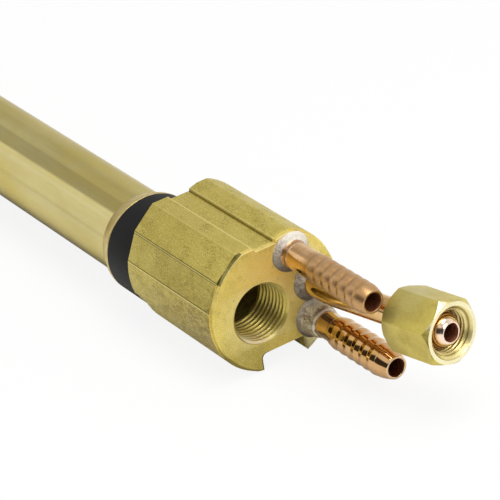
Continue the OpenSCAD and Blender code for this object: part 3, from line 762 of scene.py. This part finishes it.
def channel():
    """The right foot's sole, the channel and the left foot's sole."""
    right, _ = bar_point(FOOT_A)
    left, _ = bar_point(180 - FOOT_A)
    wall = CHANNEL_Y + CHANNEL_W
    right_foot = [(right - 0.1, FOOT_Z, WORN), (wall + BREAK, FOOT_Z, WORN), (wall, FOOT_Z + BREAK, WORN)]
    roof = [(y, ROOF_Z, 0) for y in np.linspace(wall - FILLET - 1, CHANNEL_Y + FILLET + 1, 6)]
    left_foot = [(CHANNEL_Y, FOOT_Z + BREAK, WORN), (CHANNEL_Y - BREAK, FOOT_Z, WORN),
                 (left + BREAK, FOOT_Z, WORN)]
    right_corner = roof_corner(wall - FILLET, 0)
    return right_foot + right_corner + roof + roof_corner(CHANNEL_Y + FILLET, 90) + left_foot


def inset(outline, d):
    """Moves an outline that runs clockwise inwards by d."""
    along = np.roll(outline, -1, 0) - np.roll(outline, 1, 0)
    along /= np.maximum(np.linalg.norm(along, axis=1, keepdims=True), 1e-9)
    return outline + np.stack([along[:, 1], -along[:, 0]], 1) * d


BODY, FACE, RIM, THREAD, PASSAGE = range(5)


def block_sections():
    """The block's sections from front to rear, as (x, outline, edge, material number)."""
    right_side = bar_arc(LOBE_A - 0.7, FOOT_A + 0.8)
    points = np.array(left_side() + top_side() + right_side + channel())
    full, edge = points[:, :2], points[:, 2]
    middle = np.array([BAR_Y, BAR_Z])
    out = full - middle
    rim = middle + out * np.minimum(1, RIM_R / np.linalg.norm(out, axis=1, keepdims=True))
    reach = np.linalg.norm(full, axis=1, keepdims=True)
    low_left = (full[:, 1:] < SEAT_Z) & (full[:, :1] < 0) & (reach > SEAT_R)
    seat = np.where(low_left, full * SEAT_R / reach, full)
    angle = np.degrees(np.arctan2(out[:, 1], out[:, 0])) % 360
    # The rim's crescent between the flats takes the darker copy of the brass: painted shade
    rim_kind = np.where((angle > 114.5) & (angle < 144.5), RIM, FACE)
    # The face's edge has a painted highlight, and painted shade under the block, where it is also bevelled
    brink = np.interp(angle, (130, 150, 200, 212, 250, 262, 360), (0.7, 0.3, 0.2, -1, -1, 0.5, 0.7))
    under = np.interp(angle, (200, 214, 252, 262), (0, -0.9, -0.9, 0))
    bevel = np.interp(angle, (200, 215, 246, 252), (0, 0.3, 0.3, 0))[:, None]
    # The shoulder behind the rim has the same painted shade under the block, else a pale edge
    shoulder = np.where(under < 0, under, np.maximum(edge, 0.3))
    body = [(x, full, edge, BODY) for x in np.linspace(-BLOCK_L + SEAT_L + 1.5, -RIM_L - 1.2, 10)]
    return [
        (-BLOCK_L, inset(seat, 0.03), 0.55, BODY),
        (-BLOCK_L + 0.05, seat, edge, BODY),
        (-BLOCK_L + SEAT_L, seat, edge, BODY),
        (-BLOCK_L + SEAT_L + 0.02, full, edge, BODY),
        *body,
        (-RIM_L - 0.08, full, edge, BODY),
        (-RIM_L, inset(full, 0.03), shoulder, BODY),
        (-RIM_L + 0.02, rim, under, rim_kind),
        (-0.16, rim, under, rim_kind),
        (-0.04, rim, brink, rim_kind),
        (0, inset(rim, 0.04 + bevel), brink, FACE),
        (0, inset(rim, 0.14 + bevel), 0, FACE),
    ]


def conduit_thread(t):
    """Rows of a helix with flat crests, cut off by the mouth's countersink. The crests carry a painted
    highlight, strongest low on the left near the mouth."""
    start = -0.02
    run_out = 0.9
    countersink = 1.05
    # The painted glint's middle and width in degrees, and how deep it reaches
    middle = 238
    width = 34
    reach = 6
    low_left = np.exp(-((np.degrees(t) - middle) / width) ** 2)
    for x in np.linspace(start, -THREAD_L, 230):
        depth = np.interp((t / math.tau - x / PITCH) % 1, *CONDUIT_FORM)
        depth_here = depth * np.clip((x + THREAD_L) / run_out, 0, 1)
        r = THREAD_CORE + (THREAD_ROOT - THREAD_CORE) * depth_here
        r = np.maximum(r, THREAD_ROOT + (x - start) * countersink)
        glint = 0.12 + 1.5 * low_left * np.clip(1 + x / reach, 0, 1)
        yield x, r, np.clip(1 - depth * 2.5, 0, 1) * glint, THREAD


# The relief behind the thread and the passage to the neck: (x, radius)
BEHIND_THREAD = ((-THREAD_L - 0.3, RELIEF_R), (RELIEF_X + 0.5, RELIEF_R), (RELIEF_X, RELIEF_R - 0.5),
                 (RELIEF_X - 0.8, PASSAGE_R + 0.1), (RELIEF_X - 0.9, PASSAGE_R),
                 (RELIEF_X - 2, PASSAGE_R + 0.03), (RELIEF_X - 9, PASSAGE_R + 0.03))


def make_block():
    s = Shape()
    sections = [(s.points(np.insert(outline, 0, x, axis=1), edge=edge), kind)
                for x, outline, edge, kind in block_sections()]
    s.strips(sections)
    t = angles(160)
    rows = [(0, THREAD_ROOT, 0.35, FACE), *conduit_thread(t)]
    rows += [(x, r, 0, PASSAGE) for x, r in BEHIND_THREAD]
    rings = [(s.points(circle(x, r, t), edge=edge), kind) for x, r, edge, kind in rows]
    s.fill([sections[-1][0], rings[0][0]], FACE)
    s.fill([sections[0][0]], BODY)
    s.strips(rings)
    s.face(rings[-1][0], PASSAGE)
    s.build("connection_block", [block_brass, face_brass, rim_brass, thread_brass, brass_bore], "rear_block",
            "brass", sharp=24)


# Hose tails

# One barb: (share of its length, share of its height)
GAS_WAVE = ((0, 0), (0.08, 0.05), (0.2, 0.6), (0.3, 0.92), (0.38, 1), (0.48, 0.97), (0.66, 0.78),
            (0.84, 0.48), (0.95, 0.2))
WATER_WAVE = ((0.03, 0), (0.06, 0.04), (0.43, 0.97), (0.46, 1), (0.5, 0.99), (0.96, 0.03), (0.99, 0))
# The nose after the last barb: (along, radius)
GAS_NOSE = ((25.75, 3.05), (26, 3.14), (26.35, 3.15), (27, 3.06), (27.7, 2.92), (28.3, 2.77),
            (28.65, 2.66))
WATER_NOSE = ((25.75, 3.42), (26, 3.4), (26.6, 3.29), (27.3, 3.1), (27.9, 2.92), (28.4, 2.76), (28.7, 2.66))
# The lip, from the tail's end: (along, radius, material number, edge). Its edge is a painted highlight
LIP = ((-0.2, 2.6, 0, -0.3), (-0.1, 2.58, 0, 0.6), (-0.02, 2.5, 0, 1), (0, 2.38, 0, 1),
       (0, 2.2, 0, 1), (-0.05, 2.08, 0, 0.8), (-0.16, BORE_R, 1, 0.3), (-0.5, 1.98, 1, 0))


def tail_profile(barb_r, groove_r, swell_x, wave, nose, tone):
    """tone paints a highlight on the barbs' crests and shade in their grooves."""
    profile = [(ROOT_X, TUBE_R), (ROOT_X + 0.1, TUBE_R), (swell_x, TUBE_R)]
    swell = groove_r - TUBE_R
    if swell > 0.1:
        profile += [(swell_x + 0.4, TUBE_R + 0.3 * swell), (BARB_X - 0.1, groove_r)]
    for i in range(BARBS):
        for along, height in wave:
            r = groove_r + (barb_r - groove_r) * height
            profile.append((BARB_X + (i + along) * BARB_STEP, r, 0, tone * (2 * height - 1)))
    profile += nose
    profile += [(TAIL_END + x, r, kind, edge) for x, r, kind, edge in LIP]
    return profile + [(x, BORE_R, 1) for x in (TAIL_END - 5, TAIL_END - 19, ROOT_X)]


def make_tail(name, node, at, material, turn, **sizes):
    """A hose tail. turn moves its pattern round it."""
    # Two of the three phases are used
    oval, ripple, _ = rng.uniform(0, 6.28, 3)

    def wobble(x, r, t):
        """Hand-made rings are never quite round. The bore is rounder than the barbs."""
        if x <= 4:
            return 0
        swing = 0.012 * np.sin(2 * t + oval + x * 0.4) + 0.006 * np.sin(5 * t + ripple)
        return swing * (1 if r > 2.3 else 0.3)

    place = (np.array(Matrix.Rotation(turn, 3, "X")), np.array([0, *at]))
    tail = lathe(tail_profile(**sizes), place, wobble)
    tail.build(name, [material, copper_bore], node, "copper", sharp=50)


def make_gas_tail():
    make_tail("gas_hose_tail", "gas_tail", GAS_AT, gas_copper, turn=0.4, barb_r=3.2, groove_r=3.03,
              swell_x=8.9, wave=GAS_WAVE, nose=GAS_NOSE, tone=0.45)


def make_water_tail():
    make_tail("water_hose_tail", "water_tail", WATER_AT, water_copper, turn=1.1, barb_r=3.65, groove_r=3.42,
              swell_x=8.2, wave=WATER_WAVE, nose=WATER_NOSE, tone=0)


# Bent tubes

def make_return_pipe():
    end = RETURN_BEND_END + RETURN_L
    outer = [ROOT_X, 0.5, *np.linspace(2.8, 9.4, 16), 20, end]
    bore = [end, 20, *np.linspace(9.4, 2.8, 12), ROOT_X]
    pipe = sweep([(x, TUBE_R) for x in outer] + [(x, BORE_R, 1) for x in bore], return_path)
    pipe.build("return_pipe", [return_copper, copper_bore], "return_tube", "copper", sharp=40)


def make_jacket():
    outer = [JACKET_X - BREAK, *np.linspace(JACKET_X - 3, BEND_X, 12), *np.linspace(BEND_X - 1, BEND_END, 36),
             BEND_END - 8, BEND_END - 18, NECK_END + BREAK]
    bore = [*np.linspace(BEND_END, BEND_X - 1, 24), JACKET_X]
    rows = [(JACKET_X, JACKET_R - BREAK, 0, 0.4), *[(x, JACKET_R) for x in outer],
            (NECK_END, JACKET_R - BREAK, 0, 0.4), (NECK_END, JACKET_BORE, 0, WORN),
            *[(x, JACKET_BORE) for x in bore]]
    sweep(rows, neck_path, n=144).build("jacket_pipe", [jacket_brass], "jacket_tube", "brass", sharp=40)


# Rings, collars and front end

def turned_piece(name, points, place, material, node, slot):
    """A turned piece of one material, with the corners of its profile [(along, radius)] rounded."""
    lathe(soft(points), place).build(name, [material], node, slot, sharp=40)


def ring_points(width):
    """A black ring with the spigot that reaches into the jacket."""
    return [(0.02, SPIGOT_R + 0.05), (0.02, RING_R - 0.02), (0.06, RING_R), (width - 0.05, RING_R),
            (width, RING_R - 0.1), (width, SPIGOT_R), (width + SPIGOT_L, SPIGOT_R),
            (width + SPIGOT_L, SPIGOT_BORE), (0.02, SPIGOT_BORE), (0.02, SPIGOT_R + 0.05)]


def make_rear_ring():
    turned_piece("black_ring", ring_points(RING_X - JACKET_X), towards_front(RING_X), black_plastic,
                 "insulating_ring", "black_plastic")


def make_front_ring():
    points = [(FRONT_RING_L - x, r) for x, r in ring_points(FRONT_RING_L)]
    turned_piece("front_black_ring", points, FRONT, black_plastic, "front_insulator", "black_plastic")


def make_collar(name, place, node):
    bore = JACKET_R + 0.02
    points = [(0, bore), (0, RING_R - 0.02), (0.5, RING_R), (1.3, RING_R - 0.16),
              (COLLAR_L - 0.1, JACKET_R + 0.22), (COLLAR_L, JACKET_R + 0.16), (COLLAR_L, bore), (0, bore)]
    turned_piece(name, points, place, collar_brass, node, "dull_brass")


def make_nozzle_head():
    x = FRONT_RING_L
    points = [(x, 7.6), (x, HEAD_R - 0.1), (x + 0.35, HEAD_R), (GRIP_X - 0.35, HEAD_R),
              (GRIP_X, HEAD_R - 0.1), (GRIP_X, 9.4), (25, 9.4), (26, 8.4), (26, 5), (19, 5),
              (19, 6), (12, 6), (12, 7.6), (x, 7.6)]
    turned_piece("nozzle_head", points, FRONT, nut_brass, "front_head", "brass")


def make_nozzle_grip():
    """The seat that the gas nozzle is pushed over, with the groove of its retaining ring."""
    groove_r = 10.28
    groove_start = 16.55
    groove_end = 17.85
    bore = 9.45
    points = [(GRIP_X, bore), (GRIP_X, HEAD_R), (groove_start, HEAD_R), (groove_start, groove_r),
              (groove_end, groove_r), (groove_end, HEAD_R), (GRIP_END - 0.8, HEAD_R),
              (GRIP_END, HEAD_R - 0.8), (GRIP_END, bore), (GRIP_X, bore)]
    turned_piece("nozzle_grip", points, FRONT, black_plastic, "nozzle_sleeve", "black_plastic")


# Brazes

# A braze's outline swings this many times round the tube
SWINGS = (1, 2, 3, 5, 8, 13)


def make_braze(name, node, at, rows, materials, seed):
    """A lumpy fillet round a tube. rows are [(height, radius, unevenness, material number, edge)]. A row
    without an edge gets painted shade and a painted highlight round the tube."""
    draw = np.random.default_rng(seed)
    s = Shape()
    t = angles(120)
    middle = np.array([0, *at])
    phases = draw.uniform(0, 6.28, (len(rows), len(SWINGS)))
    # Each row's lumps lie nearly over those of the first
    phases[1:] = phases[:1] + 0.35 * (phases[1:] - math.pi)
    # Painted shade on the lower left and a painted highlight on the upper right
    round_shade = 0.95 * np.cos(t - math.radians(60)) - 0.12
    rings = []
    for (x, r, uneven, kind, *edge), row_phases in zip(rows, phases):
        lumps = sum(np.sin(k * t + phase) / (0.6 + 0.45 * k) for k, phase in zip(SWINGS, row_phases))
        lumps += 0.5 * draw.standard_normal(len(t))
        if rings:
            x = np.maximum(x + 0.5 * uneven * np.roll(lumps, 7), 0)
        co = circle(x, np.maximum(r + uneven * lumps, TUBE_R), t) + middle
        rings.append((s.points(co, edge=edge[0] if edge else round_shade), kind))
    # Closed just inside the tube
    for x in (rows[-1][0], rows[0][0]):
        rings.append((s.points(circle(x, TUBE_R - 0.05, t) + middle), 0))
    s.strips(rings + rings[:1])
    s.build(name, materials, node, "braze", sharp=60)


def make_gas_braze():
    """A grey fillet, then a burnt length of tube that ends at a pale line."""
    rows = [(-0.2, 4.55, 0.08, 0), (0.12, 4.52, 0.08, 0), (0.45, 4.3, 0.09, 0), (0.75, 3.95, 0.09, 0),
            (0.95, 3.55, 0.04, 0), (1.2, 3.22, 0.03, 0), (1.4, 3.05, 0.01, 1, 0),
            (2, 3.015, 0.004, 1, 0), (2.48, 3.012, 0.003, 1, 0), (2.54, 3.02, 0.008, 1, 1),
            (2.66, 3.02, 0.008, 1, 1), (2.72, TUBE_R, 0, 1, 0.6)]
    make_braze("gas_braze_ring", "gas_tail_braze", GAS_AT, rows, [grey_braze, burnt_copper], seed=3)


def make_return_braze():
    rows = [(-0.2, 4.6, 0.07, 0), (0.15, 4.55, 0.07, 0), (0.5, 4.25, 0.06, 0), (0.8, 3.85, 0.05, 0),
            (1.15, 3.45, 0.04, 0), (1.5, 3.15, 0.03, 0), (1.7, TUBE_R, 0, 0)]
    make_braze("return_braze_ring", "return_tube_braze", RETURN_AT, rows, [grey_braze], seed=5)


def make_water_braze():
    """A grey fillet with a long collar of pale flux."""
    rows = [(-0.2, 4.75, 0.05, 0), (0.12, 4.72, 0.05, 0), (0.55, 4.52, 0.05, 0), (0.95, 4.15, 0.04, 0),
            (1.2, 3.92, 0.03, 1), (1.9, 3.82, 0.025, 1), (2.7, 3.7, 0.02, 1), (3.4, 3.55, 0.02, 1, -0.3),
            (3.9, 3.42, 0.015, 1, -0.6), (4.15, 3.38, 0.012, 1, 0.1), (4.35, 3.26, 0.01, 1, 0.8),
            (4.5, TUBE_R, 0, 1)]
    make_braze("water_braze_ring", "water_tail_braze", WATER_AT, rows, [grey_braze, pale_flux], seed=8)


# Union nut and nipple

def make_nut():
    """A hexagon with turned chamfers, and a helical thread inside down to the shoulder."""
    s = Shape()
    t = angles(360)
    degrees = np.degrees(t)
    flat, rim, thread = range(3)
    half = NUT_AF / 2
    back = NUT_END - NUT_L
    tube_hole = 3.09
    mouth_r = 5.7
    thread_end = 7
    to_flat = (t - NUT_ROLL) % (math.pi / 3) - math.pi / 6
    hexagon = np.minimum(half / np.cos(to_flat), NUT_AF / math.sqrt(3) - 0.02)
    cut = hexagon - half
    corner = 0.05 * np.clip(1 - np.abs(np.abs(to_flat) - math.pi / 6) / 0.02, 0, 1)
    # The chamfer at the mouth has a painted highlight above and painted shade below
    shine = np.interp(degrees, (0, 50, 60, 81, 105, 120, 141, 160, 175, 220, 300, 360),
                      (0.3, 0.6, 1, 1, 0.6, -0.5, -1.2, -0.7, 0, 0.1, 0.4, 0.3))
    # Where the highlight falls, the chamfer takes the pale copy of the brass
    chamfer = np.where((degrees > 50) & (degrees < 112), rim, flat)
    rows = [
        (back + 0.02, tube_hole, 0, flat),
        (back, 3.2, 0, flat),
        (back, half - 0.12, 0, flat),
        (back + 0.1, half + 0.02, 0.3, flat),
        (back + 0.1 + cut, hexagon - 0.01, 0.1, flat),
        (back + 0.2 + cut, hexagon, corner, flat),
        ((back + NUT_END) / 2, hexagon, corner, flat),
        (NUT_END - 0.1 - cut, hexagon, corner, flat),
        (NUT_END - 0.08 - cut, hexagon - 0.01, shine, chamfer),
        (NUT_END - 0.05, half + 0.02, shine, chamfer),
        (NUT_END, half - 0.04, 0.3, rim),
        (NUT_END, mouth_r, 0.3, rim),
        (NUT_END - 0.04, mouth_r - 0.08, 0.3, rim),
    ]
    for x in np.linspace(0.08, thread_end + 0.3, 120):
        run_out = np.clip((thread_end - x) / 0.7, 0, 1)
        depth = np.interp((x + t / math.tau) % 1, *NUT_FORM) * run_out
        # Pale crests, worn with a painted highlight, and dark roots with painted shade
        worn = 0.5 * np.clip(1 - depth * 2.5, 0, 1) - 0.9 * np.clip(depth * 2 - 0.8, 0, 1)
        rows.append((NUT_END - x, np.maximum(NUT_CORE + NUT_DEPTH * depth, mouth_r - 0.04 - x), worn, thread))
    for x, r in ((7.4, NUT_CORE), (8.8, NUT_CORE), (9.1, 3.3), (9.15, tube_hole)):
        rows.append((NUT_END - x, r, 0, thread))
    axes, at = UNION
    rings = []
    for x, r, edge, kind in rows:
        local = circle(x, r, t)
        rings.append((s.points(local @ axes.T + at, local, edge), kind))
    s.strips(rings)
    s.strip(rings[-1][0], rings[0][0], thread)
    s.build("union_hex_nut", [nut_brass, lit_nut_rim_brass, lit_nut_thread_brass], "union_nut", "brass", sharp=22,
            body="nut")


def make_nipple():
    """The cone nipple: a collar, a rounded cone and a bore with an uneven lip. The cone's end and the lip
    have a painted highlight.
    """
    tip = NIPPLE_TIP
    foot = tip - 8.5
    socket_r = 3.06
    lip_r = 2.3
    shoulder, nose = math.radians(15), math.radians(50)
    arc_r = (NIPPLE_R - lip_r) / (math.cos(shoulder) - math.cos(nose))
    cone = tip - arc_r * (math.sin(nose) - math.sin(shoulder))
    profile = [(foot, socket_r, 1), (foot, NIPPLE_R - 0.2), (foot + 0.2, NIPPLE_R), (cone - 0.4, NIPPLE_R)]
    # The cone's end, towards the lip, has a painted highlight
    for a in np.linspace(shoulder, nose, 12):
        x = cone + arc_r * (math.sin(a) - math.sin(shoulder)) - 0.03
        r = NIPPLE_R - arc_r * (math.cos(shoulder) - math.cos(a))
        profile.append((x, r, 0, float(np.interp(a, (nose - 0.26, nose - 0.14), (0, 0.9)))))
    profile += [(tip - 0.005, 2.26, 0, 1), (tip, 2.14, 0, 1), (tip - 0.03, BORE_R, 0, 1),
                (tip - 0.12, 1.9, 1, 0.4), (tip - 3, 1.95, 1), (tip - 4, BORE_R, 1),
                (tip - 4, socket_r, 1), (foot, socket_r, 1)]

    def wobble(x, r, t):
        """Only the lip and the bore are uneven."""
        return 0.035 * np.sin(3 * t + 0.5) + 0.02 * np.sin(7 * t) if r < lip_r else 0

    lathe(profile, UNION, wobble).build("nipple_cone", [lit_nipple_copper, copper_bore], "cone_nipple", "copper",
                                        sharp=50)


# CAD nodes that stay

KEPT = {"retaining_ring": steel, "tip_holder": nut_brass, "gas_diffuser": ceramic,
        "conductor_tube": return_copper, "gas_tube": gas_copper, "water_feed_pipe": gas_copper,
        "insulating_sleeve": pale_plastic}


def dress(name, material):
    """Gives a CAD node its material and what the material reads, in the frame of the neck's front end."""
    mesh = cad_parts[name].data
    mesh.materials.clear()
    mesh.materials.append(material)
    co = np.zeros(len(mesh.vertices) * 3, np.float32)
    mesh.vertices.foreach_get("co", co)
    axes, at = FRONT
    put_attribute(mesh, "lay", "FLOAT_VECTOR", "vector", (co.reshape(-1, 3) / MM - at) @ axes)
    put_attribute(mesh, "edge", "FLOAT", "value", np.zeros(len(mesh.vertices)))


# Floor, world, lights and camera, in metres

def white_floor():
    """A white floor. The camera sees it almost plain white."""
    nodes = Nodes(bpy.data.materials.new("floor_white"))
    matt = nodes.node("BsdfDiffuse", (0.88, 0.88, 0.87))
    glow = nodes.node("Emission", (1, 1, 1))
    # A gloss sees the floor as bright far away, beyond the lamps' reach, as close by
    away = nodes.vector("LENGTH", nodes.node("TexCoord", out="Object"))
    gloss = nodes.ramp(away, 0.15, 0.55, 0.06, 0.85)
    nodes.new("OutputMaterial", nodes.node("MixShader", nodes.ray_share(0.88, gloss), matt, glow))
    return nodes.owner


def make_floor():
    bpy.ops.mesh.primitive_plane_add(size=6, location=(-0.09, 0, FOOT_Z * MM - 0.0002))
    floor = bpy.context.object
    floor.name = "floor"
    floor.data.materials.append(white_floor())


def grey_ramp(nodes, value, tones):
    """tones are [(place, tone)] over a value from -1 to 1."""
    ramp = nodes.new("ValToRGB", nodes.node("MapRange", value, -1))
    stops = ramp.color_ramp.elements
    for at, tone in tones:
        stops.new((at + 1) / 2).color = (tone, tone, tone, 1)
    stops.remove(stops[0])
    stops.remove(stops[-1])
    return ramp.outputs[0]


def dark_wall(nodes, direction, height, color):
    """Darkens what a gloss sees of the studio's left side, low down."""
    side = nodes.vector("DOT_PRODUCT", direction, (0.707, -0.707, 0))
    low = nodes.share(nodes.ramp(height, 0.01, 0.06), nodes.ramp(height, 0.66, 0.56))
    return nodes.mix(nodes.share(nodes.ramp(side, 0.03, 0.09), low), color, (0.05, 0.045, 0.04))


def studio_world():
    """The camera sees plain white. A gloss sees a bright box on the left, a greyer one on the right and a
    dark gap between them."""
    nodes = Nodes(bpy.data.worlds.new("studio"))
    direction = nodes.node("TexCoord", out="Generated")
    split = nodes.new("SeparateXYZ", direction)
    across = grey_ramp(nodes, split.outputs[1], ((-1, 0.85), (-0.33, 1), (-0.3, 0.52), (0.05, 0.52),
                                                 (0.08, 0.66), (0.4, 0.62), (0.6, 0.82), (1, 0.76)))
    upwards = grey_ramp(nodes, split.outputs[2], ((-1, 0.95), (-0.05, 1), (0.4, 1), (1, 0.9)))
    tones = dark_wall(nodes, direction, split.outputs[2], nodes.mix(1, across, upwards, "MULTIPLY"))
    light = nodes.node("Background", (0.97, 0.98, 1), 0.5)
    room = nodes.node("Background", tones)
    white = nodes.node("Background", (1, 1, 1))
    lit = nodes.node("MixShader", nodes.ray_share(0, 1), light, room)
    nodes.new("OutputWorld", nodes.node("MixShader", nodes.ray_share(1, 0), lit, white))
    return nodes.owner


def make_softbox(name, at, width, height, power):
    """A lamp that points at the origin."""
    lamp = bpy.data.lights.new(name, "AREA")
    lamp.shape = "RECTANGLE"
    lamp.size = width
    lamp.size_y = height
    lamp.energy = power
    ob = add_object(name, lamp)
    ob.location = at
    ob.rotation_euler = (-Vector(at)).to_track_quat("-Z", "Y").to_euler()


def make_camera():
    """The camera that was fitted to the photograph."""
    lens = bpy.data.cameras.new("camera")
    lens.sensor_width = 36
    lens.lens = 194.4
    lens.clip_start = 0.01
    lens.clip_end = 20
    right = Vector((0.5572, 0.8209, -0.1249))
    down = Vector((0.3451, -0.3657, -0.8644))
    forward = Vector((-0.7553, 0.4385, -0.487))
    axes = Matrix((right, -down, -forward)).transposed().to_4x4()
    camera = add_object("camera", lens)
    camera.matrix_world = Matrix.Translation((0.41813, -0.2433, 0.28515)) @ axes
    bpy.context.scene.camera = camera


make_block()
make_gas_tail()
make_water_tail()
make_return_pipe()
make_jacket()
make_rear_ring()
make_collar("rear_taper_collar", towards_front(JACKET_X), "rear_collar")
make_front_ring()
make_collar("front_taper_collar", JACKET_END, "front_collar")
make_nozzle_head()
make_nozzle_grip()
make_gas_braze()
make_return_braze()
make_water_braze()
make_nut()
make_nipple()
for node_name, node_material in KEPT.items():
    dress(node_name, node_material)
make_floor()
bpy.context.scene.world = studio_world()
make_softbox("top_box", (0.1, 0.06, 0.75), 0.48, 0.6, 3.5)
make_softbox("camera_box", (0.62, 0.12, 0.42), 0.35, 0.35, 1.8)
make_camera()
bpy.context.scene.view_settings.view_transform = "Standard"

bpy.context.view_layer.update()
